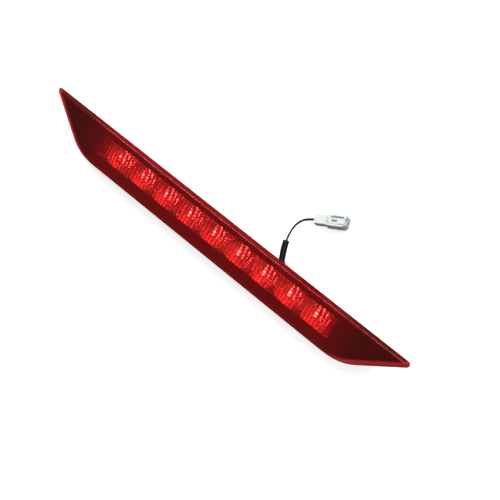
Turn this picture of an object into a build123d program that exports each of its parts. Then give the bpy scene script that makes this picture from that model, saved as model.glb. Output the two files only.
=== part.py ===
from build123d import *
import os
from math import cos, pi, radians, sin, tan

# Third brake light. Millimetres. The lamp lies on its back: +Z is the way the light shines,
# +X runs along the lamp, +Y is up on the car, and Z = 0 is the face that meets the car body.
# The origin is below the middle of the lens.

# Lens outline: a trapezium with its long edge on the +Y side
SHARP_HALF_LENGTH = 194.7  # centre to the long edge's corner, before the tip is rounded
HEIGHT = 37.3
SLANT = radians(35.85)  # angle between the slanted ends and the long edge
TIP_RADIUS = 2.8
CORNER_RADIUS = 44.0
DRAFT = radians(21)  # of the lens's long walls
END_DRAFT = radians(45)  # of its slanted ends

# Heights of the layers
LENS_BASE_Z = 19.0
LENS_CROWN_Z = 24.2
CROWN_BOW = 1.4  # how far the face falls from the middle to the tips
LENS_WALL, END_WALL = 2.0, 2.4  # measured level, through the long walls and the ends
FOOT_TOP_Z = 19.9
FOOT_WIDTH = 4.0
LEG_BOTTOM_Z = 17.4
BEZEL_LOW_Z, BEZEL_HIGH_Z = 20.1, 20.8
FLANGE_TOP_Z = 18.7
FLANGE_BOTTOM_Z = 15.6
CHANNEL_FLOOR_Z = 16.9
TRAY_BACK_Z = 4.0
TRAY_WALL = 1.8
BOARD_Z = 8.0
BOARD_THICK = 1.6
SCREW_X = [-128.0, -39.9, 39.9, 128.0]

# Light units
CELL_COUNT = 9
CELL_PITCH = 26.6
FLUTES_PER_CELL = 8
REFLECTOR_TOP_Z = 16.5
CUP_FLOOR_Z = 10.4
CUP_HALF_HEIGHT = 9.3
CELL_X = [(i - (CELL_COUNT - 1) / 2) * CELL_PITCH for i in range(CELL_COUNT)]
CELLS_HALF = CELL_COUNT * CELL_PITCH / 2

# Window in the dark surround
WINDOW_LEFT, WINDOW_RIGHT = -130.5, 125.0
WINDOW_BOTTOM, WINDOW_TOP = -7.5, 11.2

# Mounting
MOUNT_X = 105.0
THREAD_RADIUS = 2.1  # tapping size of an M5 thread
INSERT_RADIUS = 3.5

# Bezel posts, which stand in bores of the housing
POST_X, POST_Y, POST_RADIUS = 150.0, 4.0, 1.5
POST_LOW_Z, POST_BORE_LOW_Z = 16.0, 15.8

# Gussets between the tray's long sides and the flange
GUSSET_X = [-120.0, -90.0, -60.0, -30.0, 0.0, 30.0, 90.0, 120.0]
GUSSET_HALF_THICKNESS = 0.6

# Pressure vent and cable outlet
VENT_X = -60.0
VENT_HOLE = 2.0
OUTLET_HOLE = 3.5
OUTLET_BOSS = 4.5

# Wires
WIRE_DIAMETER = 1.5
SLEEVE_OUTSIDE, SLEEVE_INSIDE = 5.0, 3.9
WIRE_BLACK_ROUTE = [
    (65.6, 1.8, 11.3),
    (61.8, 9.5, 11.0),
    (57.3, 17.1, 9.7),
    (53.3, 25.5, 8.2),
    (50.9, 34.6, 6.9),
    (51.0, 43.6, 6.4),
    (54.2, 51.2, 6.9),
    (60.2, 56.4, 7.6),
    (67.3, 60.5, 7.6),
]
WIRE_WHITE_ROUTE = [
    (63.6, 1.8, 11.3),
    (60.2, 8.8, 10.4),
    (56.2, 16.8, 8.3),
    (52.3, 25.3, 6.6),
    (50.1, 34.6, 5.2),
    (50.5, 43.5, 4.6),
    (54.3, 50.7, 4.7),
    (60.8, 55.4, 4.9),
    (67.9, 59.4, 5.0),
]
SLEEVE_START_SHARE, SLEEVE_END_SHARE = 0.5, 0.46  # along its first and last runs

# Connector: its own frame has S along it from the wires, T across it, W up through its thickness
CONNECTOR_POINT = (63.6, 57.8, 6.3)
CONNECTOR_TURN = 28.5
CONNECTOR_ROLL = 25.0
CONNECTOR_LENGTH = 26.5
CAVITY_W = 1.45

os.makedirs("parts", exist_ok=True)


def save(node, shape):
    """Write one sub-part under its node name."""
    export_step(shape, f"parts/{node}.step")


def block(low, high):
    """A box between two opposite corners."""
    size = [b - a for a, b in zip(low, high)]
    middle = [(a + b) / 2 for a, b in zip(low, high)]
    return Pos(*middle) * Box(*size)


def rod(x, y, low_z, high_z, radius):
    """An upright cylinder."""
    return Pos(x, y, (low_z + high_z) / 2) * Cylinder(radius, high_z - low_z)


def outline(inset, z, tip=None, end_inset=None):
    """The lens outline moved inwards, as a face at a height; its slanted ends may move further."""
    top = HEIGHT / 2 - inset
    end_inset = inset if end_inset is None else end_inset

    def end(y):
        return SHARP_HALF_LENGTH - (HEIGHT / 2 - y) / tan(SLANT) - end_inset / sin(SLANT)

    corners = [(-end(top), top), (end(top), top), (end(-top), -top), (-end(-top), -top)]
    face = make_face(Polyline(*corners, close=True))
    tips = face.vertices().sort_by(Axis.Y)[-2:]
    face = fillet(tips, tip or TIP_RADIUS)
    face = fillet(face.vertices().sort_by(Axis.Y)[:2], CORNER_RADIUS - inset)
    return Pos(0, 0, z) * face


def prism(inset, low_z, high_z, tip=None, end_inset=None):
    """The inset outline between two heights."""
    return extrude(outline(inset, low_z, tip, end_inset), high_z - low_z)


def tapered(low_inset, low_z, high_inset, high_z, tips=(None, None), ends=(None, None)):
    """A solid between two inset outlines."""
    low = outline(low_inset, low_z, tips[0], ends[0])
    high = outline(high_inset, high_z, tips[1], ends[1])
    return loft([low, high], ruled=True)


def under_crown(drop):
    """Everything below the crowned face, lowered by a distance."""
    half = 210.0
    ends_z = LENS_CROWN_Z - drop - CROWN_BOW * (half / (SHARP_HALF_LENGTH - 4)) ** 2
    arc = ThreePointArc((-half, 0, ends_z), (0, 0, LENS_CROWN_Z - drop), (half, 0, ends_z))
    sides = Polyline((half, 0, ends_z), (half, 0, 0), (-half, 0, 0), (-half, 0, ends_z))
    return extrude(make_face(arc + sides), HEIGHT, dir=(0, 1, 0), both=True)


def hollow_rod(plane, radius, hole, start, length):
    """A ring along a plane's normal."""
    ring = Circle(radius) - Circle(hole) if hole else Circle(radius)
    return extrude(plane.offset(start) * ring, length)


def make_outer_lens():
    """Red shell: crowned face, drafted walls, an inward foot and a leg for the sealed channel."""
    depth = 6.0
    high_z = LENS_BASE_Z + depth
    draft_inset, end_draft_inset = depth * tan(DRAFT), depth * tan(END_DRAFT)
    shell = tapered(0, LENS_BASE_Z, draft_inset, high_z, (TIP_RADIUS, 1.6), (0, end_draft_inset))
    shell &= under_crown(0)
    face_rim = shell.faces().sort_by(Axis.Z)[-1].edges()
    shell = fillet(face_rim, 0.9)
    foot_rise = FOOT_TOP_Z - LENS_BASE_Z
    low_inset = LENS_WALL + foot_rise * tan(DRAFT)
    ends = (END_WALL + foot_rise * tan(END_DRAFT), END_WALL + end_draft_inset)
    hollow = tapered(low_inset, FOOT_TOP_Z, LENS_WALL + draft_inset, high_z, (2.2, 1.4), ends)
    shell -= hollow & under_crown(LENS_WALL)
    shell -= prism(FOOT_WIDTH, LENS_BASE_Z - 1, FOOT_TOP_Z + 0.1)
    leg = prism(2.8, LEG_BOTTOM_Z, LENS_BASE_Z) - prism(FOOT_WIDTH, LEG_BOTTOM_Z, LENS_BASE_Z)
    return shell + leg


def make_lens_sealant():
    """Bead in the bottom of the flange's channel."""
    bead = prism(2.5, CHANNEL_FLOOR_Z, LEG_BOTTOM_Z)
    return bead - prism(4.3, CHANNEL_FLOOR_Z, LEG_BOTTOM_Z)


def make_bezel():
    """Dark surround with one long window, a lip down to the inner lens, and two posts."""
    low, high = BEZEL_LOW_Z, BEZEL_HIGH_Z
    plate = prism(3.3, low, high, end_inset=4.8)
    lip = 1.2
    plate += block(
        (WINDOW_LEFT - lip, WINDOW_BOTTOM - lip, FOOT_TOP_Z),
        (WINDOW_RIGHT + lip, WINDOW_TOP + lip, low),
    )
    window = block((WINDOW_LEFT, WINDOW_BOTTOM, low - 2), (WINDOW_RIGHT, WINDOW_TOP, high + 1))
    plate -= fillet(window.edges().filter_by(Axis.Z), 1.0)
    for x in (-POST_X, POST_X):
        plate += rod(x, POST_Y, POST_LOW_Z, low, POST_RADIUS)
    return plate


def make_inner_lens():
    """Clear plate on the flange, with upright flutes on the side that faces the lamps."""
    flute = CELL_PITCH / FLUTES_PER_CELL
    count = 78
    start = -count * flute / 2
    depth = 0.6
    base = FLANGE_TOP_Z
    ribs = [
        ThreePointArc(
            (start + i * flute, 0, base),
            (start + (i + 0.5) * flute, 0, base - depth),
            (start + (i + 1) * flute, 0, base),
        )
        for i in range(count)
    ]
    top = Polyline((-start, 0, base), (-start, 0, base + 0.5), (start, 0, base + 0.5), (start, 0, base))
    fluted = extrude(make_face(Wire(ribs + top.edges())), 10.0, dir=(0, 1, 0), both=True)
    plate = block((-134.5, -13.9, base), (134.5, 13.9, FOOT_TOP_Z))
    plate = fillet(plate.edges().filter_by(Axis.Z), 5.0)
    return plate + fluted


def cup(half_low, half_high, low_z, high_z):
    """A funnel-shaped block from a small rectangle to a large one."""
    low = Pos(0, 0, low_z) * Rectangle(2 * half_low[0], 2 * half_low[1])
    high = Pos(0, 0, high_z) * Rectangle(2 * half_high[0], 2 * half_high[1])
    return loft([low, high], ruled=True)


def make_reflector_strip():
    """One moulding of square cups, a short tray at each end, and posts down to the board."""
    wall = 0.9
    left, right = -134.0, 128.5
    frame_low = REFLECTOR_TOP_Z - 1.0
    strip = block((left, -10.1, frame_low), (right, 10.1, REFLECTOR_TOP_Z))
    outer_low = (3.7, 3.3)
    outer_high = (CELL_PITCH / 2, CUP_HALF_HEIGHT + wall / 2)
    inner_low = (2.8, 2.4)
    inner_high = (CELL_PITCH / 2 - 0.6, CUP_HALF_HEIGHT)
    end_floor = 13.0
    for low_x, high_x in ((left, -CELLS_HALF), (CELLS_HALF, right)):
        strip += block((low_x, -9.7, end_floor - wall), (high_x, 9.7, REFLECTOR_TOP_Z))
        strip -= block((low_x + wall, -8.8, end_floor), (high_x - wall, 8.8, REFLECTOR_TOP_Z))
    for x in CELL_X:
        strip += Pos(x, 0, 0) * cup(outer_low, outer_high, CUP_FLOOR_Z, REFLECTOR_TOP_Z)
    for x in CELL_X:
        strip -= Pos(x, 0, 0) * cup(inner_low, inner_high, CUP_FLOOR_Z, REFLECTOR_TOP_Z)
    for x in (-93.1, -13.3, 13.3, 93.1):
        strip += rod(x, 0, BOARD_Z + BOARD_THICK, frame_low, 1.1)
    return strip


def make_circuit_board():
    """Long narrow board with four screw holes and a notch for the cable outlet."""
    top = BOARD_Z + BOARD_THICK
    board = block((-132, -9.2, BOARD_Z), (132, 9.2, top))
    board -= block((55.0, 6.0, BOARD_Z), (67.0, 10.0, top))
    for x in SCREW_X:
        board -= rod(x, 0, BOARD_Z, top, 1.4)
    return board


def make_board_screws():
    """Thread-forming screws with low cross-slotted heads."""
    top = BOARD_Z + BOARD_THICK
    screws = []
    for x in SCREW_X:
        head = rod(x, 0, top, top + 1.4, 2.4)
        head = chamfer(head.edges().sort_by(Axis.Z)[-1], 0.4)
        for long_way in ((2.6, 0.6), (0.6, 2.6)):
            head -= Pos(x, 0, top + 1.4) * Box(*long_way, 1.2)
        screws.append(head + rod(x, 0, 5.2, top, 1.1))
    return Compound(children=screws)


def make_led_packages():
    """One package per cell: a body with two solder tabs."""
    top = BOARD_Z + BOARD_THICK
    packages = []
    for x in CELL_X:
        body = block((x - 1.6, -1.6, top), (x + 1.6, 1.6, top + 1.1))
        tabs = block((x - 2.0, -1.2, top), (x + 2.0, 1.2, top + 0.3))
        packages.append(body + tabs)
    return Compound(children=packages)


def make_led_domes():
    """A clear cap on each package."""
    seat = BOARD_Z + BOARD_THICK + 1.1
    radius = 1.5
    caps = []
    for x in CELL_X:
        ball = Pos(x, 0, seat) * Sphere(radius)
        caps.append(ball & block((x - 2, -2, seat), (x + 2, 2, seat + 2)))
    return Compound(children=caps)


def make_chip_resistors():
    """One series resistor per lamp, on the back of the board."""
    chips = []
    for x in CELL_X:
        low = (x + 5.0, -5.6, BOARD_Z - 0.55)
        chips.append(block(low, (x + 7.0, -4.35, BOARD_Z)))
    return Compound(children=chips)


def make_regulator_chip():
    """Eight-legged driver on the back of the board."""
    x, y = 12.0, 3.6
    chip = block((x - 2.45, y - 1.95, BOARD_Z - 1.6), (x + 2.45, y + 1.95, BOARD_Z - 0.15))
    for i in range(4):
        leg_x = x + (i - 1.5) * 1.27
        chip += block((leg_x - 0.2, y - 3.0, BOARD_Z - 0.5), (leg_x + 0.2, y + 3.0, BOARD_Z))
    return chip


def make_protection_diode():
    """Reverse-polarity diode on the back of the board."""
    x, y = 54.0, 3.0
    body = block((x - 2.15, y - 1.3, BOARD_Z - 1.9), (x + 2.15, y + 1.3, BOARD_Z - 0.1))
    return body + block((x - 2.6, y - 0.75, BOARD_Z - 0.5), (x + 2.6, y + 0.75, BOARD_Z))


def make_capacitors():
    """Two ceramic capacitors on the back of the board."""
    blocks = []
    for x in (-20.0, -12.0):
        blocks.append(block((x - 1.6, 2.2, BOARD_Z - 1.6), (x + 1.6, 4.7, BOARD_Z)))
    return Compound(children=blocks)


def make_board_header():
    """Two-way wire header that stands on the board between two cups."""
    top = BOARD_Z + BOARD_THICK
    body = block((62.0, -3.2, top), (67.2, 2.4, top + 3.3))
    for x in (63.6, 65.6):
        body -= block((x - 0.5, -2.4, top + 2.4), (x + 0.5, -0.6, top + 4))
    return body


def centre_route():
    """The line midway between the two wires."""
    pairs = zip(WIRE_BLACK_ROUTE, WIRE_WHITE_ROUTE)
    return [Vector(*[(p + q) / 2 for p, q in zip(a, b)]) for a, b in pairs]


def corner_radii(points):
    """At each corner, the radius that uses 0.45 of the shorter run beside it."""
    radii = []
    for before, here, after in zip(points, points[1:], points[2:]):
        turn = radians((here - before).get_angle(after - here))
        run = min((here - before).length, (after - here).length)
        radii.append(0.45 * run / tan(turn / 2))
    return radii


def tube_path(points, radii):
    """Straight runs joined by tangent arcs."""
    return FilletPolyline(*points, radius=radii)


def tube(name, points, radii, diameter, hole=0.0):
    """A round tube along a route; prints how its volume compares with section times length."""
    path = tube_path(points, radii)
    section_plane = Plane(origin=points[0], z_dir=points[1] - points[0])
    solid = sweep(section_plane * Circle(diameter / 2), path=path)
    area = pi * diameter**2 / 4
    if hole:
        solid -= sweep(section_plane * Circle(hole / 2), path=path)
        area -= pi * hole**2 / 4
    share = solid.volume / (area * path.length)
    print(name, "length", round(path.length, 2), "volume share", round(share, 4))
    print(name, "radii", [round(r, 1) for r in radii])
    return solid


def make_wire(name, route):
    """One insulated wire from the board's header to its contact in the connector."""
    points = [Vector(*p) for p in route]
    return tube(name, points, corner_radii(points), WIRE_DIAMETER)


def make_cable_sleeve():
    """Soft tube over both wires, from the grommet outwards."""
    line = centre_route()
    radii = corner_radii(line)
    start = line[1] + (line[2] - line[1]) * SLEEVE_START_SHARE
    end = line[3] + (line[4] - line[3]) * SLEEVE_END_SHARE
    points = [start, line[2], line[3], end]
    return tube("cable_sleeve", points, radii[1:3], SLEEVE_OUTSIDE, SLEEVE_INSIDE)


def outlet_plane():
    """Square to the wires, where the sleeve starts."""
    line = centre_route()
    start = line[1] + (line[2] - line[1]) * SLEEVE_START_SHARE
    return Plane(origin=start, z_dir=line[2] - line[1])


def make_cable_grommet():
    """Rubber plug in the tray's outlet: a flange inside, a collar outside, a seat for the sleeve."""
    plane = outlet_plane()
    body = hollow_rod(plane, OUTLET_HOLE - 0.02, 0, -3.9, 3.0)
    body += hollow_rod(plane, 4.2, 0, -4.8, 0.9)
    body += hollow_rod(plane, 3.3, 0, -1.2, 2.6)
    body -= hollow_rod(plane, SLEEVE_INSIDE / 2, 0, -6, 6)
    body -= hollow_rod(plane, SLEEVE_OUTSIDE / 2, 0, 0, 3)
    return body


def gusset(x, side):
    """A blunt triangle against the tray's wall, below the flange; side is 1 for +Y and -1 for -Y."""
    wall_y, rim_y = HEIGHT / 2 - 7.4, HEIGHT / 2 - 2.6
    corners = [(wall_y, 7.5), (wall_y, FLANGE_BOTTOM_Z), (rim_y, FLANGE_BOTTOM_Z), (rim_y, 14.6)]
    profile = make_face(Polyline(*[(x, side * y, z) for y, z in corners], close=True))
    return extrude(profile, GUSSET_HALF_THICKNESS, dir=(1, 0, 0), both=True)


def make_rear_housing():
    """Tray with a sealing flange, gussets, mounting bosses, board bosses and the cable outlet."""
    inner_floor = TRAY_BACK_Z + TRAY_WALL
    outlet = outlet_plane()
    body = tapered(7.3, TRAY_BACK_Z, 6.0, FLANGE_BOTTOM_Z, (6.0, 6.0))
    body += prism(1.6, FLANGE_BOTTOM_Z, FLANGE_TOP_Z)
    for x in GUSSET_X:
        body += gusset(x, 1) + gusset(x, -1)
    body -= hollow_rod(outlet, OUTLET_BOSS, 0, -6.6, 3.0)
    body += hollow_rod(outlet, OUTLET_BOSS, 0, -3.6, 2.4)
    body -= tapered(7.3 + TRAY_WALL, inner_floor, 6.0 + TRAY_WALL, FLANGE_TOP_Z, (5.0, 5.0))
    body -= prism(2.5, CHANNEL_FLOOR_Z, FLANGE_TOP_Z) - prism(4.3, CHANNEL_FLOOR_Z, FLANGE_TOP_Z)
    for x in (-MOUNT_X, MOUNT_X):
        body += rod(x, 0, 0, BOARD_Z - 0.4, 5.5)
        body -= rod(x, 0, 0, 6.6, INSERT_RADIUS + 0.02)
    for x in SCREW_X:
        body += rod(x, 0, inner_floor - 0.5, BOARD_Z, 2.6)
        body -= rod(x, 0, 5.0, BOARD_Z, 1.15)
    for x in (-POST_X, POST_X):
        body += rod(x, POST_Y, inner_floor - 0.5, FOOT_TOP_Z, POST_RADIUS + 1.7)
        body -= rod(x, POST_Y, POST_BORE_LOW_Z, FOOT_TOP_Z, POST_RADIUS + 0.05)
    body -= hollow_rod(outlet, OUTLET_HOLE, 0, -6, 8)
    body -= rod(VENT_X, 0, 0, inner_floor, VENT_HOLE)
    body -= rod(VENT_X, 0, 0, TRAY_BACK_Z + 0.8, 5.0)
    return body


def make_vent_membrane():
    """Thin breathable disc in the recess of the vent."""
    floor = TRAY_BACK_Z + 0.8
    return rod(VENT_X, 0, floor - 0.3, floor, 4.6)


def make_breather_cap():
    """Cap over the membrane, with three breathing slots in its rim."""
    top = TRAY_BACK_Z + 0.5
    cap = rod(VENT_X, 0, 1.6, top, 4.9) - rod(VENT_X, 0, 2.6, top, 4.0)
    for angle in (0, 60, 120):
        slot = Rotation(0, 0, angle) * Box(12, 1.6, 1.0)
        cap -= Pos(VENT_X, 0, 3.2) * slot
    return chamfer(cap.edges().sort_by(Axis.Z)[0], 0.4)


def make_threaded_inserts():
    """Brass nuts moulded into the mounting bosses, with a groove round each."""
    nuts = []
    for x in (-MOUNT_X, MOUNT_X):
        nut = rod(x, 0, 0, 6.4, INSERT_RADIUS)
        nut -= rod(x, 0, 2.6, 3.8, INSERT_RADIUS + 1) - rod(x, 0, 2.6, 3.8, INSERT_RADIUS - 0.5)
        nuts.append(nut - rod(x, 0, 0, 6.4, THREAD_RADIUS))
    return Compound(children=nuts)


def make_mounting_gasket():
    """Foam ring on the back of the tray, flush with the bosses."""
    ring = prism(8.4, 0, TRAY_BACK_Z, 5.0) - prism(12.4, 0, TRAY_BACK_Z, 3.0)
    return ring


def connector_plane():
    """The connector's own frame: X along it, Y across it, Z up through it."""
    turn, roll = radians(CONNECTOR_TURN), radians(CONNECTOR_ROLL)
    along = Vector(cos(turn), sin(turn), 0)
    across = Vector(-sin(turn) * cos(roll), cos(turn) * cos(roll), -sin(roll))
    return Plane(origin=CONNECTOR_POINT, x_dir=along, z_dir=along.cross(across))


def make_connector_housing():
    """White two-way body: a narrow back, a stepped front, a recess for the lever and a side slot."""
    body = block((0, -3.8, -3.1), (12, 3.8, 3.5))
    front = block((10.5, -4.7, -3.9), (CONNECTOR_LENGTH, 4.7, 4.8))
    back_edges = front.edges().filter_by(Axis.Y).group_by(Axis.X)[0]
    front = chamfer(back_edges, 0.9)
    nose = front.edges().filter_by(Axis.Z).group_by(Axis.X)[-1].sort_by(Axis.Y)[0]
    front = chamfer(nose, 2.2)
    front = fillet(front.edges().filter_by(Axis.X), 0.6)
    body = fillet(body.edges().filter_by(Axis.X), 0.5) + front
    body -= block((12.6, -3.1, 2.95), (CONNECTOR_LENGTH, 1.9, 6))
    body -= block((14.0, 1.8, 2.95), (24.6, 3.4, 6))
    body -= block((6.2, 1.5, -2.3), (9.8, 5, 2.3))
    for w in (-CAVITY_W, CAVITY_W):
        body -= block((0, -1.15, w - 1.15), (20.6, 1.15, w + 1.15))
        body -= block((20, -0.8, w - 0.8), (CONNECTOR_LENGTH, 0.8, w + 0.8))
    body -= Pos(11.6, -1.6, 4.8) * Cylinder(0.8, 1.6)
    return connector_plane() * body


def make_connector_latch():
    """Lever in the recess: a thin arm with a thumb pad near its free end."""
    arm = block((12.75, -2.9, 3.75), (25.9, 1.7, 4.8))
    arm += block((21.5, -2.4, 4.8), (25.0, 1.2, 5.2))
    arm -= block((15.0, -1.6, 3), (19.5, 0.4, 6))
    return connector_plane() * arm


def make_connector_retainer():
    """Secondary lock in the side of the connector."""
    lock = block((6.35, 1.6, -2.15), (9.65, 3.8, 2.15))
    lock -= block((7.6, 3.4, -1.2), (8.4, 4, 1.2))
    return connector_plane() * lock


def make_connector_terminals():
    """Two socket contacts: a square box with a slot for the blade, and a stub for the wire."""
    contacts = []
    for w in (-CAVITY_W, CAVITY_W):
        contact = block((7.5, -1.0, w - 1.0), (20.0, 1.0, w + 1.0))
        contact -= block((12.5, -0.7, w - 0.7), (20.0, 0.7, w + 0.7))
        contact += block((4.6, -0.7, w - 0.5), (7.5, 0.7, w + 0.5))
        contacts.append(contact)
    return connector_plane() * Compound(children=contacts)


NODES = {
    "outer_lens": make_outer_lens,
    "inner_lens": make_inner_lens,
    "bezel": make_bezel,
    "reflector_strip": make_reflector_strip,
    "circuit_board": make_circuit_board,
    "led_packages": make_led_packages,
    "led_domes": make_led_domes,
    "chip_resistors": make_chip_resistors,
    "regulator_chip": make_regulator_chip,
    "protection_diode": make_protection_diode,
    "capacitors": make_capacitors,
    "board_header": make_board_header,
    "board_screws": make_board_screws,
    "rear_housing": make_rear_housing,
    "lens_sealant": make_lens_sealant,
    "threaded_inserts": make_threaded_inserts,
    "mounting_gasket": make_mounting_gasket,
    "vent_membrane": make_vent_membrane,
    "breather_cap": make_breather_cap,
    "cable_grommet": make_cable_grommet,
    "cable_sleeve": make_cable_sleeve,
    "connector_housing": make_connector_housing,
    "connector_latch": make_connector_latch,
    "connector_retainer": make_connector_retainer,
    "connector_terminals": make_connector_terminals,
}

for node, make in NODES.items():
    save(node, make())
save("wire_black", make_wire("wire_black", WIRE_BLACK_ROUTE))
save("wire_white", make_wire("wire_white", WIRE_WHITE_ROUTE))
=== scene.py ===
import math

import bmesh
import bpy
import numpy as np
from bpy.props import FloatProperty, FloatVectorProperty, PointerProperty
from mathutils import Matrix, Vector


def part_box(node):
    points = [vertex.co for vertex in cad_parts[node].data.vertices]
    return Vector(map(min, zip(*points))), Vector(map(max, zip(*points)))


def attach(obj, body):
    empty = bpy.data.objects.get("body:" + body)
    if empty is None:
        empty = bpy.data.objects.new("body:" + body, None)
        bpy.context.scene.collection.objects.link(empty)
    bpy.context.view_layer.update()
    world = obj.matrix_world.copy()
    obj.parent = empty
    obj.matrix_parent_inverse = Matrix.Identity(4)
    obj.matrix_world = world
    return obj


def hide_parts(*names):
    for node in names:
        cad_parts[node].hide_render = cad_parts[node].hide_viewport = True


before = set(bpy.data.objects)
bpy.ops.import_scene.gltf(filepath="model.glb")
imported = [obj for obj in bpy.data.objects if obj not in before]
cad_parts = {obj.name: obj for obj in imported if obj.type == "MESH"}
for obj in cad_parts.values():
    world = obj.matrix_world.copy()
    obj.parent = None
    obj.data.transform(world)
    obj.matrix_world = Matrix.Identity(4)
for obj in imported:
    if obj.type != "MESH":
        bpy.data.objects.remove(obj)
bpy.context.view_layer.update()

bl_info = {
    "name": "Third Brake Light",
    "version": (1, 0, 0),
    "blender": (4, 5, 0),
    "location": "View3D > Sidebar > Brake Light",
    "description": "Builds the finished look of a third brake light around its packed parts",
    "category": "Object",
}

MM = 0.001
LENS_LOW, LENS_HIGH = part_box("outer_lens")
HEIGHT = LENS_HIGH.y - LENS_LOW.y
SLANT = math.radians(35.85)
TIP_RADIUS = 2.8 * MM
SHARP_HALF = LENS_HIGH.x + TIP_RADIUS * (1 / math.tan(SLANT / 2) - 1)
CORNER_RADIUS = 44.0 * MM
DRAFT, END_DRAFT = math.radians(21), math.radians(45)
BOW = 1.4 * MM
LENS_BASE = 19.0 * MM
LENS_WALL, END_WALL = 2.0 * MM, 2.4 * MM
FOOT_TOP = 19.9 * MM
FOOT_WIDTH, LEG_OFFSET = 4.0 * MM, 2.8 * MM
LEG_BOTTOM = LENS_LOW.z
EDGE_RADIUS, INNER_EDGE_RADIUS = 0.9 * MM, 0.5 * MM
WALL_STEPS, TURN_STEPS, FACE_STEPS = 5, 7, 22

FLUTE_COUNT, FLUTE_STEPS = 78, 7
FLUTED_HALF_HEIGHT = 10.0 * MM
FLUTE_BASE = 18.7 * MM

CELL_PITCH = 26.6 * MM
CELL_COUNT = 9
CELL_X = (np.arange(CELL_COUNT) - (CELL_COUNT - 1) / 2) * CELL_PITCH
REFLECTOR_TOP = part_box("reflector_strip")[1].z
CUP_FLOOR, CUP_FLAT = 10.4 * MM, 0.1 * MM
CELL_RIM, CELL_HALF_HEIGHT = 0.6 * MM, 9.3 * MM
TRAY_WALL, TRAY_FLOOR, TRAY_SLOPE = 0.9 * MM, 13.0 * MM, 0.12
STEP_WIDTH = 0.02 * MM
STRIP_THICKNESS = 0.6 * MM

# The wires' routes, from the board's header to the contacts in the connector
WIRE_BLACK_ROUTE = [
    (65.6, 1.8, 11.3),
    (61.8, 9.5, 11.0),
    (57.3, 17.1, 9.7),
    (53.3, 25.5, 8.2),
    (50.9, 34.6, 6.9),
    (51.0, 43.6, 6.4),
    (54.2, 51.2, 6.9),
    (60.2, 56.4, 7.6),
    (67.3, 60.5, 7.6),
]
WIRE_WHITE_ROUTE = [
    (63.6, 1.8, 11.3),
    (60.2, 8.8, 10.4),
    (56.2, 16.8, 8.3),
    (52.3, 25.3, 6.6),
    (50.1, 34.6, 5.2),
    (50.5, 43.5, 4.6),
    (54.3, 50.7, 4.7),
    (60.8, 55.4, 4.9),
    (67.9, 59.4, 5.0),
]
WIRE_DIAMETER, WIRE_LENGTH = 1.5 * MM, 68.0 * MM
SLEEVE_OUTSIDE, SLEEVE_INSIDE = 5.0 * MM, 3.9 * MM


# ---------------------------------------------------------------- meshes


def settle(name, data, node):
    """An object of the lamp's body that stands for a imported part."""
    piece = bpy.data.objects.new(name, data)
    bpy.context.scene.collection.objects.link(piece)
    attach(piece, "lamp")
    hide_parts(node)
    return piece


def put_piece(name, points, quads, material, node):
    """A mesh from arrays, merged where points meet, turned outwards, smooth up to 35 degrees."""
    mesh = bpy.data.meshes.new(name)
    mesh.from_pydata(points, [], quads)
    work = bmesh.new()
    work.from_mesh(mesh)
    bmesh.ops.remove_doubles(work, verts=work.verts, dist=2e-6)
    bmesh.ops.recalc_face_normals(work, faces=work.faces)
    work.to_mesh(mesh)
    work.free()
    mesh.polygons.foreach_set("use_smooth", np.ones(len(mesh.polygons), bool))
    mesh.set_sharp_from_angle(angle=math.radians(35))
    mesh.materials.append(material)
    return settle(name, mesh, node)


def grid_quads(rows, columns, wrap):
    """Faces of a grid of points, rows first; wrap joins the last column to the first."""
    index = np.arange(rows * columns).reshape(rows, columns)
    if wrap:
        index = np.hstack([index, index[:, :1]])
    corners = [index[:-1, :-1], index[:-1, 1:], index[1:, 1:], index[1:, :-1]]
    return np.stack([c.ravel() for c in corners], axis=1)


def closed_slab(x, y, low, high):
    """A slab over a grid of x and y, between a lower and an upper height field, with its four sides."""
    gx, gy = np.meshgrid(x, y, indexing="ij")
    top = np.stack([gx, gy, high], -1).reshape(-1, 3)
    bottom = np.stack([gx, gy, low], -1).reshape(-1, 3)
    rows, columns = len(x), len(y)
    upper = grid_quads(rows, columns, False)
    lower = upper[:, ::-1] + rows * columns
    index = np.arange(rows * columns).reshape(rows, columns)
    rim = np.concatenate([index[0, :-1], index[:-1, -1], index[-1, :0:-1], index[:0:-1, 0]])
    after = np.roll(rim, -1)
    sides = np.stack([rim, after, after + rows * columns, rim + rows * columns], axis=1)
    return np.concatenate([top, bottom]), np.concatenate([upper, lower, sides])


# The outline's eight stretches, from the long edge round by the left end and back by the right one
LONG_SAMPLES, TIP_SAMPLES, SLANT_SAMPLES, CORNER_SAMPLES = 120, 14, 24, 16
SEGMENT_SAMPLES = [
    LONG_SAMPLES, TIP_SAMPLES, SLANT_SAMPLES, CORNER_SAMPLES,
    LONG_SAMPLES, CORNER_SAMPLES, SLANT_SAMPLES, TIP_SAMPLES,
]
SEGMENT = np.repeat(np.arange(len(SEGMENT_SAMPLES)), SEGMENT_SAMPLES)
STEP = np.concatenate([np.arange(n) / n for n in SEGMENT_SAMPLES])


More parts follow.
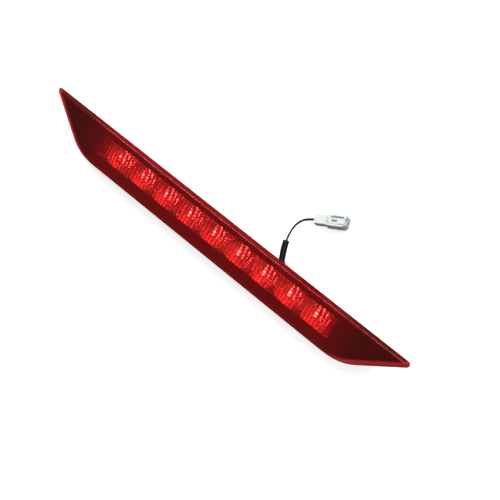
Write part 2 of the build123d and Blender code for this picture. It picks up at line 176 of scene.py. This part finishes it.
def outline(inset, end_inset):
    """The lens outline moved inwards, anticlockwise from the long edge's right end, as x and y arrays.

    A trapezium with rounded corners. Straight stretches are start + (end - start) * step; an arc
    is centre + radius * (cos, sin) of an angle that turns with step. The corner radius shrinks
    with the inset so that the last ring folds onto the middle line.
    """
    middle = HEIGHT / 2
    share = np.clip((middle - inset) / (middle - 6 * MM), 0, 1)
    tip = np.maximum(TIP_RADIUS - inset, 0.5 * MM) * share
    corner = (CORNER_RADIUS - inset) * share
    high = middle - inset
    tip_x = SHARP_HALF - inset / math.tan(SLANT) - end_inset / math.sin(SLANT)
    low_x = SHARP_HALF - (HEIGHT - inset) / math.tan(SLANT) - end_inset / math.sin(SLANT)
    tip_run = tip / math.tan(SLANT / 2)
    corner_run = corner * math.tan(SLANT / 2)
    dx, dy = math.cos(SLANT), math.sin(SLANT)
    top_end = tip_x - tip_run
    slant_top = (tip_x - tip_run * dx, high - tip_run * dy)
    slant_low = (low_x + corner_run * dx, -high + corner_run * dy)
    low_end = low_x - corner_run
    s = STEP

    def between(a, b):
        return a + (b - a) * s

    tip_left = math.pi / 2 + s * (math.pi - SLANT)
    corner_left = 1.5 * math.pi - SLANT + s * SLANT
    corner_right = 1.5 * math.pi + s * SLANT
    tip_right = 1.5 * math.pi + SLANT + s * (math.pi - SLANT)
    x = [
        between(top_end, -top_end),
        -top_end + tip * np.cos(tip_left),
        between(-slant_top[0], -slant_low[0]),
        -low_end + corner * np.cos(corner_left),
        between(-low_end, low_end),
        low_end + corner * np.cos(corner_right),
        between(slant_low[0], slant_top[0]),
        top_end + tip * np.cos(tip_right),
    ]
    y = [
        high + 0 * s,
        high - tip + tip * np.sin(tip_left),
        between(slant_top[1], slant_low[1]),
        -high + corner + corner * np.sin(corner_left),
        -high + 0 * s,
        -high + corner + corner * np.sin(corner_right),
        between(slant_low[1], slant_top[1]),
        high - tip + tip * np.sin(tip_right),
    ]
    picks = [SEGMENT == i for i in range(len(SEGMENT_SAMPLES))]
    shape = np.broadcast(inset, s).shape
    full = [np.broadcast_to(p, shape) for p in picks]
    return (
        np.select(full, [np.broadcast_to(v, shape) for v in x]),
        np.select(full, [np.broadcast_to(v, shape) for v in y]),
    )


def crown(x):
    """Height of the lens face: a shallow parabola that falls by the bow from the middle to the tips."""
    return LENS_HIGH.z - BOW * (x / (SHARP_HALF - 4 * MM)) ** 2


def lens_rows():
    """The lens's cross-section as rows of (kind, share) from the inner face round to the outer one.

    The share runs from 0 to 1 along a face, turn or wall; the rows of the foot and leg need none.
    """
    face = np.linspace(0, 1, FACE_STEPS)
    turn = np.linspace(0, 1, TURN_STEPS)
    wall = np.linspace(0, 1, WALL_STEPS)
    inner = [("inner_face", 1 - f) for f in face] + [("inner_turn", 1 - t) for t in turn[:-1]]
    inner += [("inner_wall", 1 - w) for w in wall[1:]]
    foot = [(kind, None) for kind in ("foot_top", "leg_inside", "leg_outside", "leg_top", "base")]
    outer = [("outer_wall", w) for w in wall[1:]] + [("outer_turn", t) for t in turn[1:]]
    return inner + foot + outer + [("outer_face", f) for f in face[1:]]


def wall_inset(z, thickness, draft):
    """How far in a drafted wall stands at a height."""
    return thickness + (z - LENS_BASE) * math.tan(draft)


def lens_row(kind, share, x):
    """Insets of the long sides and of the ends, and height, of one row, for the points whose x is given.

    Both walls turn into the face over the same height, so the edge round at the ends has the
    larger radius: radius * (1 - sin draft) / (1 - sin end draft).
    """
    outer = kind.startswith("outer")
    thickness, end_thickness = (0.0, 0.0) if outer else (LENS_WALL, END_WALL)
    radius = EDGE_RADIUS if outer else INNER_EDGE_RADIUS
    top = crown(x) - (0.0 if outer else LENS_WALL)
    drop = radius * (1 - math.sin(DRAFT))
    end_radius = drop / (1 - math.sin(END_DRAFT))
    touch_z = top - drop
    centre = wall_inset(touch_z, thickness, DRAFT) + radius * math.cos(DRAFT)
    end_centre = wall_inset(touch_z, end_thickness, END_DRAFT) + end_radius * math.cos(END_DRAFT)
    if kind.endswith("face"):
        inwards = (HEIGHT / 2 - centre) * share
        return centre + inwards, end_centre + inwards, top
    if kind.endswith("turn"):
        angle = DRAFT + (math.pi / 2 - DRAFT) * share
        fall = radius * (1 - math.sin(angle))
        end_angle = math.asin(1 - fall / end_radius)
        return centre - radius * math.cos(angle), end_centre - end_radius * math.cos(end_angle), top - fall
    if kind.endswith("wall"):
        low = LENS_BASE if outer else FOOT_TOP
        z = low + (touch_z - low) * share
        return wall_inset(z, thickness, DRAFT), wall_inset(z, end_thickness, END_DRAFT), z
    inset, z = {
        "foot_top": (FOOT_WIDTH, FOOT_TOP),
        "leg_inside": (FOOT_WIDTH, LEG_BOTTOM),
        "leg_outside": (LEG_OFFSET, LEG_BOTTOM),
        "leg_top": (LEG_OFFSET, LENS_BASE),
        "base": (0.0, LENS_BASE),
    }[kind]
    return inset + 0 * x, inset + 0 * x, z + 0 * x


def lens_surface():
    """The red lens as rings of its outline; each ring's x is worked out again as its inset changes."""
    points = []
    for kind, share in lens_rows():
        x, y = outline(np.zeros(len(STEP)), np.zeros(len(STEP)))
        for _ in range(4):
            inset, end_inset, z = lens_row(kind, share, x)
            x, y = outline(inset, end_inset)
        points.append(np.stack([x, y, z], -1))
    return np.concatenate(points), grid_quads(len(points), len(STEP), True)


def inner_lens_surface(pitch, depth, row_pitch, row_depth):
    """A flat plate whose lamp side has upright flutes crossed by shallow rows.

    Below the plate the height is base - depth * (1 - u^2) - row_depth * (1 - v^2), where u and v
    run from -1 to 1 across one flute and one row.
    """
    low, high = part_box("inner_lens")
    half_x, half_y = FLUTE_COUNT / 2 * pitch, FLUTED_HALF_HEIGHT
    flutes = np.linspace(-half_x, half_x, FLUTE_COUNT * FLUTE_STEPS + 1)
    x = np.concatenate([[low.x], flutes, [high.x]])
    y = np.concatenate([[low.y], np.linspace(-half_y, half_y, 61), [high.y]])
    gx, gy = np.meshgrid(x, y, indexing="ij")
    u = 2 * np.mod(gx / pitch + 1e-9, 1) - 1
    v = 2 * np.mod(gy / row_pitch + 1e-9, 1) - 1
    inside = (abs(gx) <= half_x) & (abs(gy) <= half_y)
    under = depth * (1 - u**2) + row_depth * (1 - v**2)
    bottom = np.where(inside, FLUTE_BASE - under, FLUTE_BASE)
    return closed_slab(x, y, bottom, np.full_like(gx, high.z))


def reflector_surface(focus_x, focus_y):
    """A strip of bowls in rectangular cells.

    Inside a cell the height is floor + x^2 / (4 * focus_x) + y^2 / (4 * focus_y), cut off at the
    strip's top; between cells there is a flat rim, and the short end pieces are shallow trays.
    """
    low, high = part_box("reflector_strip")
    half_y = CELL_HALF_HEIGHT
    bowl_half = CELL_PITCH / 2 - CELL_RIM
    across = np.linspace(-1, 1, 31) * bowl_half
    edge = np.array([-CELL_PITCH / 2, -bowl_half - STEP_WIDTH])
    cell = np.concatenate([edge, across, [-edge[1]]])
    x = (CELL_X[:, None] + cell).ravel()
    left_end, right_start = -CELL_COUNT * CELL_PITCH / 2, CELL_COUNT * CELL_PITCH / 2
    tray_low, tray_high = low.x + TRAY_WALL, high.x - TRAY_WALL
    tray_left = [low.x, tray_low, tray_low + STEP_WIDTH, left_end - STEP_WIDTH]
    tray_right = [right_start, right_start + STEP_WIDTH, tray_high - STEP_WIDTH, tray_high, high.x]
    x = np.concatenate([tray_left, x, tray_right])
    inner_y = np.linspace(-half_y, half_y, 27)
    y = np.concatenate([[low.y, -half_y - STEP_WIDTH], inner_y, [half_y + STEP_WIDTH, high.y]])
    gx, gy = np.meshgrid(x, y, indexing="ij")
    local = gx - CELL_PITCH * np.round(gx / CELL_PITCH)
    bowl = CUP_FLOOR + local**2 / (4 * focus_x) + gy**2 / (4 * focus_y)
    bowl = np.minimum(np.maximum(bowl, CUP_FLOOR + CUP_FLAT), REFLECTOR_TOP)
    in_height = abs(gy) <= half_y + 1e-9
    in_cell = (abs(local) <= bowl_half + 1e-9) & in_height & (abs(gx) < right_start)
    in_tray = (abs(gx) > right_start + STEP_WIDTH / 2) & in_height
    in_tray &= (gx > tray_low + STEP_WIDTH / 2) & (gx < tray_high - STEP_WIDTH / 2)
    tray = TRAY_FLOOR + (abs(gx) - right_start) * TRAY_SLOPE
    top = np.where(in_cell, bowl, np.where(in_tray, tray, REFLECTOR_TOP))
    return closed_slab(x, y, top - STRIP_THICKNESS, top)


def route_spline(name, route, resolution):
    """Curve data of one smooth spline with the route's points as its control points."""
    data = bpy.data.curves.new(name, "CURVE")
    data.dimensions = "3D"
    data.resolution_u = resolution
    spline = data.splines.new("NURBS")
    spline.points.add(len(route) - 1)
    for point, place in zip(spline.points, route):
        point.co = (*[c * MM for c in place], 1)
    spline.order_u = 3
    spline.use_endpoint_u = True
    return data


def put_wire(name, route, material, node):
    """A round wire along the smooth spline of its route."""
    data = route_spline(name, route, 16)
    data.bevel_depth = WIRE_DIAMETER / 2
    data.bevel_resolution = 5
    data.use_fill_caps = True
    data.materials.append(material)
    return settle(name, data, node)


def route_line(route):
    """Points along the smooth spline of a route."""
    data = route_spline("route", route, 24)
    holder = bpy.data.objects.new("route", data)
    mesh = bpy.data.meshes.new_from_object(holder)
    line = np.array([v.co for v in mesh.vertices])
    bpy.data.objects.remove(holder)
    bpy.data.curves.remove(data)
    bpy.data.meshes.remove(mesh)
    return line


def pipe_surface(line, outside, inside, around=28):
    """A pipe with a wall along a line: two tubes joined at both ends by rounded rims.

    Each ring is centre + radius * (cos a * side + sin a * up), where side and up are square to the
    line and don't twist.
    """
    along = np.gradient(line, axis=0)
    along /= np.linalg.norm(along, axis=1)[:, None]
    side = np.cross(along, [0.0, 0.0, 1.0])
    side /= np.linalg.norm(side, axis=1)[:, None]
    up = np.cross(side, along)
    angle = np.linspace(0, 2 * math.pi, around, endpoint=False)
    wall = (outside - inside) / 2
    last = len(line) - 1
    order = list(range(last + 1)) + list(range(last, -1, -1))
    radius = [outside / 2] * (last + 1) + [inside / 2] * (last + 1)
    radius[0] = radius[last] = outside / 2 - wall * 0.2
    radius[last + 1] = radius[-1] = inside / 2 + wall * 0.1
    order, radius = np.array(order + [0]), np.array(radius + [radius[0]])
    cosine, sine = np.cos(angle)[None, :, None], np.sin(angle)[None, :, None]
    ring = cosine * side[order][:, None] + sine * up[order][:, None]
    points = line[order][:, None] + radius[:, None, None] * ring
    return points.reshape(-1, 3), grid_quads(len(order), around, True)


# ---------------------------------------------------------------- materials


def new_group(name, inputs, outputs):
    """An empty shader node group with named inputs (name, kind, default) and outputs (name, kind)."""
    group = bpy.data.node_groups.new(name, "ShaderNodeTree")
    for label, kind, default in inputs:
        socket = group.interface.new_socket(name=label, in_out="INPUT", socket_type=kind)
        socket.default_value = default
    for label, kind in outputs:
        group.interface.new_socket(name=label, in_out="OUTPUT", socket_type=kind)
    ends = group.nodes.new("NodeGroupInput"), group.nodes.new("NodeGroupOutput")
    return group, ends[0], ends[1]


def grain_group():
    """Moulding grain and slow variation: a colour, a roughness and a height that change over the surface."""
    name = "moulding_grain"
    if name in bpy.data.node_groups:
        return bpy.data.node_groups[name]
    inputs = [
        ("Color", "NodeSocketColor", (0.5, 0.5, 0.5, 1)),
        ("Shade", "NodeSocketFloat", 0.15),
        ("Roughness", "NodeSocketFloat", 0.5),
        ("Roughness Change", "NodeSocketFloat", 0.1),
        ("Grain Size", "NodeSocketFloat", 2500.0),
        ("Patch Size", "NodeSocketFloat", 60.0),
    ]
    outputs = [("Color", "NodeSocketColor"), ("Roughness", "NodeSocketFloat"), ("Height", "NodeSocketFloat")]
    group, start, end = new_group(name, inputs, outputs)
    nodes, links = group.nodes, group.links
    place = nodes.new("ShaderNodeTexCoord")
    patch = nodes.new("ShaderNodeTexNoise")
    patch.inputs["Detail"].default_value = 4
    fine = nodes.new("ShaderNodeTexNoise")
    fine.inputs["Detail"].default_value = 2
    dark = nodes.new("ShaderNodeMath")
    dark.operation = "MULTIPLY_ADD"
    dark.inputs[2].default_value = 1.0
    centre = nodes.new("ShaderNodeMath")
    centre.operation = "SUBTRACT"
    centre.inputs[1].default_value = 0.5
    shade = nodes.new("ShaderNodeVectorMath")
    shade.operation = "SCALE"
    rough = nodes.new("ShaderNodeMath")
    rough.operation = "MULTIPLY_ADD"
    links.new(place.outputs["Object"], patch.inputs["Vector"])
    links.new(place.outputs["Object"], fine.inputs["Vector"])
    links.new(start.outputs["Patch Size"], patch.inputs["Scale"])
    links.new(start.outputs["Grain Size"], fine.inputs["Scale"])
    links.new(patch.outputs["Fac"], centre.inputs[0])
    links.new(centre.outputs[0], dark.inputs[0])
    links.new(start.outputs["Shade"], dark.inputs[1])
    links.new(start.outputs["Color"], shade.inputs[0])
    links.new(dark.outputs[0], shade.inputs["Scale"])
    links.new(centre.outputs[0], rough.inputs[0])
    links.new(start.outputs["Roughness Change"], rough.inputs[1])
    links.new(start.outputs["Roughness"], rough.inputs[2])
    links.new(shade.outputs[0], end.inputs["Color"])
    links.new(rough.outputs[0], end.inputs["Roughness"])
    links.new(fine.outputs["Fac"], end.inputs["Height"])
    return group


def finish_material(name, color, roughness, grain=0.0, shade=0.15, change=0.1, size=2500.0, **plain):
    """A material whose colour, roughness and bump come from the grain group; plain sockets are set directly.

    The grain is the bump's height in millimetres, and the size is how many grains a metre has.
    """
    if name in bpy.data.materials:
        return bpy.data.materials[name]
    material = bpy.data.materials.new(name)
    material.use_nodes = True
    nodes, links = material.node_tree.nodes, material.node_tree.links
    shader = nodes["Principled BSDF"]
    surface = nodes.new("ShaderNodeGroup")
    surface.node_tree = grain_group()
    surface.inputs["Color"].default_value = (*color, 1)
    surface.inputs["Shade"].default_value = shade
    surface.inputs["Roughness"].default_value = roughness
    surface.inputs["Roughness Change"].default_value = change
    surface.inputs["Grain Size"].default_value = size
    links.new(surface.outputs["Color"], shader.inputs["Base Color"])
    links.new(surface.outputs["Roughness"], shader.inputs["Roughness"])
    if grain:
        bump = nodes.new("ShaderNodeBump")
        bump.inputs["Strength"].default_value = 1.0
        bump.inputs["Distance"].default_value = grain * MM
        links.new(surface.outputs["Height"], bump.inputs["Height"])
        links.new(bump.outputs["Normal"], shader.inputs["Normal"])
    for socket, value in plain.items():
        shader.inputs[socket.replace("_", " ")].default_value = value
    return material


def settings():
    """The add-on's values in this scene."""
    return bpy.context.scene.brake_light


def dress(node, material):
    """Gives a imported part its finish."""
    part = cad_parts[node]
    part.data.materials.clear()
    part.data.materials.append(material)


# ---------------------------------------------------------------- values


class BRAKELIGHT_PG_values(bpy.types.PropertyGroup):
    """Sizes and colours that a user would change."""

    red: FloatVectorProperty(
        name="Lens Red", description="Colour that the red lens lets through",
        default=(0.64, 0.03, 0.03), subtype="COLOR", size=3, min=0, max=1,
    )
    flute_pitch: FloatProperty(
        name="Flute Pitch", description="Width of one upright flute of the inner lens",
        default=CELL_PITCH / 8, unit="LENGTH",
    )
    flute_depth: FloatProperty(
        name="Flute Depth", description="Depth of one upright flute", default=0.7 * MM, unit="LENGTH",
    )
    row_pitch: FloatProperty(
        name="Row Pitch", description="Height of one shallow row across the flutes",
        default=2.15 * MM, unit="LENGTH",
    )
    row_depth: FloatProperty(
        name="Row Depth", description="Depth of one shallow row", default=0.35 * MM, unit="LENGTH",
    )
    focus_x: FloatProperty(
        name="Long Focus", description="Focal length of the bowls along the lamp", default=6.6 * MM,
        unit="LENGTH",
    )
    focus_y: FloatProperty(
        name="Cross Focus", description="Focal length of the bowls across the lamp", default=5.2 * MM,
        unit="LENGTH",
    )
    mirror_roughness: FloatProperty(
        name="Mirror Roughness", description="How dull the metal coat of the bowls is", default=0.1,
        min=0, max=1,
    )
    glow: FloatProperty(
        name="Lamp Glow", description="Strength of the light from each lamp", default=1300.0, min=0,
    )
    floor_color: FloatVectorProperty(
        name="Floor", description="Colour of the floor", default=(0.9, 0.9, 0.9), subtype="COLOR",
        size=3, min=0, max=1,
    )


# ---------------------------------------------------------------- pieces


class BRAKELIGHT_OT_outer_lens(bpy.types.Operator):
    """Red shell with a crowned face, drafted walls and a welding leg"""

    bl_idname = "brakelight.outer_lens"
    bl_label = "Outer Lens"

    def execute(self, context):
        red = finish_material(
            "red_acrylic", settings().red, 0.02, shade=0.05, change=0.02,
            Transmission_Weight=0.97, IOR=1.49, Specular_Tint=(1.0, 0.5, 0.5, 1), Emission_Strength=1.0,
        )
        # Paints light onto the lens: brighter walls and a glow by normal and place.
        self.paint_wall_light(red)
        points, quads = lens_surface()
        put_piece("outer_lens_shell", points, quads, red, "outer_lens")
        return {"FINISHED"}

    def paint_wall_light(self, material):
        """Paints light onto the lens: a brighter wall colour and a glow stand in for light coming through
        the walls and for the lamps' light scattered in the lens, which is no lamp.

        Where the surface's normal leans away from Z, 1 at |z| under 0.9 and 0 over 0.97, the colour
        turns from the face's to a brighter red, painted light on the walls. Where it also leans along X, 0
        at |x| under 0.1 and 1 over 0.35, as at the slanted ends and tips, the painted glow is stronger. A
        weaker painted glow covers the stretch over the lamps and fades out between 115 and 150 mm from the
        middle.
        """
        nodes, links = material.node_tree.nodes, material.node_tree.links
        shader = nodes["Principled BSDF"]
        normal = nodes.new("ShaderNodeSeparateXYZ")
        links.new(nodes.new("ShaderNodeNewGeometry").outputs["Normal"], normal.inputs[0])
        place = nodes.new("ShaderNodeSeparateXYZ")
        links.new(nodes.new("ShaderNodeTexCoord").outputs["Object"], place.inputs[0])

        def mask(value, start, end):
            size = nodes.new("ShaderNodeMath")
            size.operation = "ABSOLUTE"
            links.new(value, size.inputs[0])
            share = nodes.new("ShaderNodeMapRange")
            share.inputs["From Min"].default_value = start
            share.inputs["From Max"].default_value = end
            links.new(size.outputs[0], share.inputs["Value"])
            return share.outputs["Result"]

        def mix(factor, first, second):
            blend = nodes.new("ShaderNodeMix")
            blend.data_type = "RGBA"
            blend.inputs["A"].default_value = (0, 0, 0, 1)
            blend.inputs["B"].default_value = (*second, 1)
            if first:
                links.new(first, blend.inputs["A"])
            links.new(factor, blend.inputs["Factor"])
            return blend.outputs["Result"]

        plain = shader.inputs["Base Color"].links[0].from_socket
        # Painted light: the walls get a brighter red than the face, standing in for light coming through
        # them.
        walls = mix(mask(normal.outputs["Z"], 0.97, 0.9), plain, (1.0, 0.02, 0.03))
        # Painted glow over the lamps' stretch, standing in for lamp light scattered in the lens.
        painted_lamp_glow = mix(mask(place.outputs["X"], 150 * MM, 115 * MM), None, (0.035, 0.0, 0.0))
        # Painted glow, stronger at the slanted ends and tips: emission on a lens that is no lamp.
        glow = mix(mask(normal.outputs["X"], 0.1, 0.35), painted_lamp_glow, (0.13, 0.005, 0.01))
        links.new(walls, shader.inputs["Base Color"])
        links.new(glow, shader.inputs["Emission Color"])


class BRAKELIGHT_OT_inner_lens(bpy.types.Operator):
    """Clear fluted plate behind the window"""

    bl_idname = "brakelight.inner_lens"
    bl_label = "Inner Lens"

    def execute(self, context):
        clear = finish_material(
            "clear_acrylic", (0.95, 0.95, 0.95), 0.03, shade=0.02, change=0.02,
            Transmission_Weight=0.97, IOR=1.49,
        )
        values = settings()
        points, quads = inner_lens_surface(
            values.flute_pitch, values.flute_depth, values.row_pitch, values.row_depth
        )
        put_piece("inner_lens_plate", points, quads, clear, "inner_lens")
        return {"FINISHED"}


class BRAKELIGHT_OT_reflector(bpy.types.Operator):
    """Metallised strip of bowls, one for each lamp"""

    bl_idname = "brakelight.reflector"
    bl_label = "Reflector Strip"

    def execute(self, context):
        values = settings()
        metal = finish_material(
            "metallised_plastic", (0.88, 0.88, 0.9), values.mirror_roughness, shade=0.05, change=0.06,
            Metallic=1.0,
        )
        points, quads = reflector_surface(values.focus_x, values.focus_y)
        put_piece("reflector_bowls", points, quads, metal, "reflector_strip")
        return {"FINISHED"}


class BRAKELIGHT_OT_lamps(bpy.types.Operator):
    """Lamp packages, their clear caps and the glow under each cap"""

    bl_idname = "brakelight.lamps"
    bl_label = "Lamps"

    def execute(self, context):
        dress("led_packages", finish_material("lamp_body", (0.8, 0.78, 0.74), 0.45, grain=0.01))
        cap = finish_material("lamp_cap", (0.95, 0.8, 0.7), 0.1, shade=0.02, change=0.03)
        shader = cap.node_tree.nodes["Principled BSDF"]
        shader.inputs["Emission Color"].default_value = (1.0, 0.85, 0.7, 1)
        shader.inputs["Emission Strength"].default_value = settings().glow
        dress("led_domes", cap)
        return {"FINISHED"}


class BRAKELIGHT_OT_board(bpy.types.Operator):
    """Circuit board with its components, header and screws"""

    bl_idname = "brakelight.board"
    bl_label = "Board"

    def execute(self, context):
        resist = finish_material("board_resist", (0.015, 0.12, 0.045), 0.35, grain=0.01, size=900)
        dress("circuit_board", resist)
        dress("chip_resistors", finish_material("chip_resistor", (0.02, 0.02, 0.022), 0.5, grain=0.01))
        dress("regulator_chip", finish_material("chip_body", (0.018, 0.018, 0.02), 0.55, grain=0.02))
        dress("protection_diode", finish_material("diode_body", (0.02, 0.02, 0.02), 0.5, grain=0.02))
        dress("capacitors", finish_material("capacitor_ceramic", (0.42, 0.3, 0.17), 0.45, grain=0.01))
        dress("board_header", finish_material("header_nylon", (0.75, 0.72, 0.62), 0.5, grain=0.02))
        steel = finish_material("screw_steel", (0.55, 0.55, 0.56), 0.3, grain=0.01, Metallic=1.0)
        dress("board_screws", steel)
        return {"FINISHED"}


class BRAKELIGHT_OT_housing(bpy.types.Operator):
    """Dark surround, black tray, sealing bead, vent and mounting hardware"""

    bl_idname = "brakelight.housing"
    bl_label = "Housing"

    def execute(self, context):
        surround = finish_material("surround_black", (0.05, 0.045, 0.043), 0.55, grain=0.02, size=1800)
        dress("bezel", surround)
        tray = finish_material("tray_black", (0.022, 0.022, 0.024), 0.5, grain=0.03, size=1500)
        dress("rear_housing", tray)
        dress("lens_sealant", finish_material("sealant_bead", (0.03, 0.03, 0.03), 0.5, grain=0.05, size=400))
        dress("breather_cap", finish_material("vent_cap", (0.03, 0.03, 0.032), 0.45, grain=0.02))
        dress("vent_membrane", finish_material("vent_membrane", (0.8, 0.8, 0.8), 0.8, grain=0.03, size=4000))
        foam = finish_material("gasket_foam", (0.025, 0.025, 0.027), 0.9, grain=0.25, size=1100, shade=0.5)
        dress("mounting_gasket", foam)
        brass = finish_material("insert_brass", (0.66, 0.47, 0.2), 0.3, grain=0.01, shade=0.25, Metallic=1.0)
        dress("threaded_inserts", brass)
        return {"FINISHED"}


class BRAKELIGHT_OT_cable(bpy.types.Operator):
    """Two wires, the sleeve over them and the rubber grommet"""

    bl_idname = "brakelight.cable"
    bl_label = "Cable"

    def execute(self, context):
        dress("cable_grommet", finish_material("grommet_rubber", (0.02, 0.02, 0.02), 0.7, grain=0.03))
        black = finish_material(
            "wire_black_skin", (0.005, 0.005, 0.005), 0.35, grain=0.005, Specular_IOR_Level=0.25,
        )
        pale = finish_material("wire_pale_skin", (0.82, 0.82, 0.8), 0.4, grain=0.005)
        skin = finish_material(
            "sleeve_skin", (0.004, 0.004, 0.004), 0.35, grain=0.01, Specular_IOR_Level=0.25,
        )
        pairs = zip(WIRE_BLACK_ROUTE, WIRE_WHITE_ROUTE)
        line = route_line([tuple((a + b) / 2 for a, b in zip(*pair)) for pair in pairs])
        low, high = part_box("cable_sleeve")
        covered = line[(line[:, 1] > low.y + 0.5 * MM) & (line[:, 1] < high.y - 0.3 * MM)]
        points, quads = pipe_surface(covered, SLEEVE_OUTSIDE, SLEEVE_INSIDE)
        sleeve = put_piece("cable_sleeve_tube", points, quads, skin, "cable_sleeve")
        shell = ["connector_housing", "connector_latch", "connector_retainer"]
        wires = (
            ("wire_black_lead", WIRE_BLACK_ROUTE, black, "wire_black", "wire_black", [sleeve, *shell]),
            ("wire_pale_lead", WIRE_WHITE_ROUTE, pale, "wire_pale", "wire_white", ["connector_terminals"]),
        )
        for name, route, material, slot, node, pieces in wires:
            wire = put_wire(name, route, material, node)
        return {"FINISHED"}


class BRAKELIGHT_OT_connector(bpy.types.Operator):
    """White connector with its lever, side lock and contacts"""

    bl_idname = "brakelight.connector"
    bl_label = "Connector"

    def execute(self, context):
        nylon = finish_material("connector_nylon", (0.5, 0.54, 0.5), 0.38, grain=0.01, shade=0.06)
        for node in ("connector_housing", "connector_latch", "connector_retainer"):
            dress(node, nylon)
        tin = finish_material("contact_tin", (0.7, 0.69, 0.66), 0.3, grain=0.005, Metallic=1.0)
        dress("connector_terminals", tin)
        return {"FINISHED"}


def area_light(name, place, aim, size, power):
    """A rectangular white light at a place, turned to an aim point; sizes and places in metres."""
    data = bpy.data.lights.new(name, "AREA")
    data.shape = "RECTANGLE"
    data.size, data.size_y = size
    data.energy = power
    lamp = bpy.data.objects.new(name, data)
    bpy.context.scene.collection.objects.link(lamp)
    lamp.location = place
    lamp.rotation_euler = (Vector(aim) - Vector(place)).to_track_quat("-Z", "Y").to_euler()


class BRAKELIGHT_OT_stage(bpy.types.Operator):
    """Pale floor, soft lights and the camera"""

    bl_idname = "brakelight.stage"
    bl_label = "Stage"

    def execute(self, context):
        scene = context.scene
        half_side = 6.0
        corners = [(x * half_side, y * half_side, 0) for x, y in ((-1, -1), (1, -1), (1, 1), (-1, 1))]
        mesh = bpy.data.meshes.new("floor")
        mesh.from_pydata(corners, [], [(0, 1, 2, 3)])
        floor = bpy.data.objects.new("floor", mesh)
        scene.collection.objects.link(floor)
        mesh.materials.append(self.floor_material())
        world = bpy.data.worlds.new("studio")
        world.use_nodes = True
        background = world.node_tree.nodes["Background"]
        background.inputs["Color"].default_value = (1, 1, 1, 1)
        background.inputs["Strength"].default_value = 0.22
        scene.world = world
        area_light("softbox_back", (-0.2, 1.65, 0.95), (0, 0, 0.02), (2.0, 2.0), 78)
        area_light("softbox_right", (1.4, 0.1, 1.1), (0, 0, 0.02), (0.8, 0.8), 3)
        area_light("softbox_top", (0.6, 0.6, 1.7), (0, 0, 0), (0.9, 0.9), 4)
        scene.view_settings.view_transform = "Standard"
        scene.cycles.max_bounces = 20
        scene.cycles.transmission_bounces = 16
        scene.cycles.glossy_bounces = 8
        self.place_camera(scene)
        return {"FINISHED"}

    def floor_material(self):
        """White paper that looks darker in reflections, so that the lens doesn't mirror a white sheet."""
        material = finish_material("floor_paper", settings().floor_color, 0.9, shade=0.01, change=0.02)
        nodes, links = material.node_tree.nodes, material.node_tree.links
        shader = nodes["Principled BSDF"]
        seen = nodes.new("ShaderNodeLightPath")
        pick = nodes.new("ShaderNodeMix")
        pick.data_type = "RGBA"
        pick.inputs["A"].default_value = (0.2, 0.2, 0.2, 1)
        links.new(seen.outputs["Is Camera Ray"], pick.inputs["Factor"])
        links.new(shader.inputs["Base Color"].links[0].from_socket, pick.inputs["B"])
        links.new(pick.outputs["Result"], shader.inputs["Base Color"])
        links.new(seen.outputs["Is Camera Ray"], shader.inputs["Emission Color"])
        shader.inputs["Emission Strength"].default_value = 0.6
        shader.inputs["Specular IOR Level"].default_value = 0.1
        return material

    def place_camera(self, scene):
        """Camera above the long edge and towards the right tip, rolled so that the lamp lies aslant."""
        place = Vector((346.95, 333.4, 801.5)) * MM
        back = Vector((0.34626, 0.35883, 0.8668)).normalized()
        roll = math.radians(30.33)
        side = Vector((0, 1, 0)).cross(back).normalized()
        upright = Matrix((side, back.cross(side), back)).transposed()
        data = bpy.data.cameras.new("camera")
        data.lens = 83.61
        data.sensor_width = 36.0
        data.clip_start, data.clip_end = 0.01, 20
        camera = bpy.data.objects.new("camera", data)
        scene.collection.objects.link(camera)
        camera.matrix_world = Matrix.Translation(place) @ (upright @ Matrix.Rotation(roll, 3, "Z")).to_4x4()
        scene.camera = camera


OPERATORS = [
    BRAKELIGHT_OT_stage,
    BRAKELIGHT_OT_cable,
    BRAKELIGHT_OT_outer_lens,
    BRAKELIGHT_OT_inner_lens,
    BRAKELIGHT_OT_reflector,
    BRAKELIGHT_OT_lamps,
    BRAKELIGHT_OT_board,
    BRAKELIGHT_OT_housing,
    BRAKELIGHT_OT_connector,
]


class BRAKELIGHT_PT_sidebar(bpy.types.Panel):
    """Lists the pieces and the values"""

    bl_label = "Brake Light"
    bl_idname = "BRAKELIGHT_PT_sidebar"
    bl_space_type = "VIEW_3D"
    bl_region_type = "UI"
    bl_category = "Brake Light"

    def draw(self, context):
        for name in BRAKELIGHT_PG_values.__annotations__:
            self.layout.prop(context.scene.brake_light, name)
        for operator in OPERATORS:
            self.layout.operator(operator.bl_idname)


CLASSES = [BRAKELIGHT_PG_values, *OPERATORS, BRAKELIGHT_PT_sidebar]


def register():
    """Adds the classes and the scene's values."""
    for cls in CLASSES:
        bpy.utils.register_class(cls)
    bpy.types.Scene.brake_light = PointerProperty(type=BRAKELIGHT_PG_values)


def unregister():
    """Removes them again."""
    del bpy.types.Scene.brake_light
    for cls in reversed(CLASSES):
        bpy.utils.unregister_class(cls)


def main():
    """Registers the add-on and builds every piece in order."""
    register()
    for operator in OPERATORS:
        group, name = operator.bl_idname.split(".")
        getattr(getattr(bpy.ops, group), name)()


if __name__ == "__main__":
    main()
